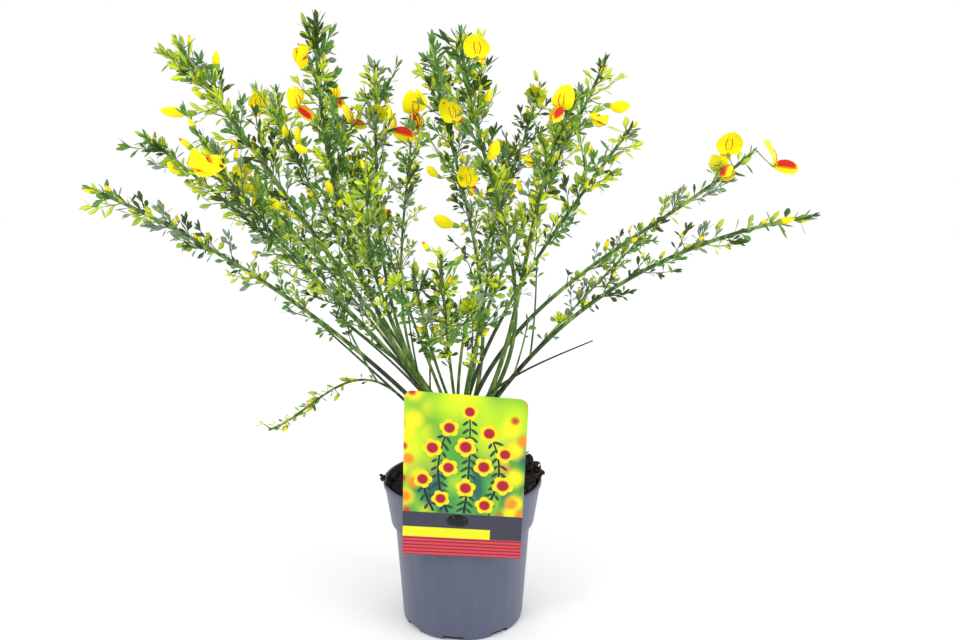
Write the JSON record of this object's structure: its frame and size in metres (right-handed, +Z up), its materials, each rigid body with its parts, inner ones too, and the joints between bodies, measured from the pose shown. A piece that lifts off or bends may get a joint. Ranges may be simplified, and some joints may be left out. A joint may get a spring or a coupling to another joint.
{
  "type": "potted broom shrub",
  "caption": "Potted flowering broom: fan of leafy wand-like stems with yellow and red pea flowers, on a short trunk in a round nursery pot with soil and a hanging card.",
  "frame": {"origin": "centre of the pot's flat underside", "axes": "+Z up, the hanging card faces -Y, +X to the right seen from the front"},
  "size_m": [0.7488, 0.4696, 0.6482],
  "materials": {
    "pot_plastic": "satin",
    "peat": "rough",
    "card_print": "satin",
    "stud_plastic": "gloss",
    "wood": "rough",
    "green_bark": "satin",
    "foliage": "satin"
  },
  "bodies": {
    "root": {"bough_back_left": "green_bark", "bough_back_right": "green_bark", "bough_centre_back": "green_bark", "bough_centre_left": "green_bark", "bough_cut_dark": "green_bark", "bough_cut_left": "green_bark", "bough_cut_right": "green_bark", "bough_droopy": "green_bark", "bough_far_left": "green_bark", "bough_forked": "green_bark", "bough_front_left": "green_bark", "bough_front_mid": "green_bark", "bough_front_right": "green_bark", "bough_high_mid": "green_bark", "bough_high_right": "green_bark", "bough_left_fourth": "green_bark", "bough_left_mid": "green_bark", "bough_left_second": "green_bark", "bough_left_third": "green_bark", "bough_main_left": "green_bark", "bough_right_back": "green_bark", "bough_right_front": "green_bark", "bough_right_lower": "green_bark", "bough_right_middle": "green_bark", "bough_right_second": "green_bark", "bough_right_tall": "green_bark", "bough_right_upper": "green_bark", "bough_tall_left": "green_bark", "bough_tall_second": "green_bark", "card": "card_print", "mass_back_left": "foliage", "mass_back_right": "foliage", "mass_centre_back": "foliage", "mass_centre_left": "foliage", "mass_droopy": "foliage", "mass_far_left": "foliage", "mass_forked": "foliage", "mass_front_left": "foliage", "mass_front_mid": "foliage", "mass_front_right": "foliage", "mass_high_mid": "foliage", "mass_high_right": "foliage", "mass_left_fourth": "foliage", "mass_left_mid": "foliage", "mass_left_second": "foliage", "mass_left_third": "foliage", "mass_main_left": "foliage", "mass_right_back": "foliage", "mass_right_front": "foliage", "mass_right_lower": "foliage", "mass_right_middle": "foliage", "mass_right_second": "foliage", "mass_right_tall": "foliage", "mass_right_upper": "foliage", "mass_tall_left": "foliage", "mass_tall_second": "foliage", "pot": "pot_plastic", "soil": "peat", "stud": "stud_plastic", "trunk": "wood"}
  },
  "joints": []
}
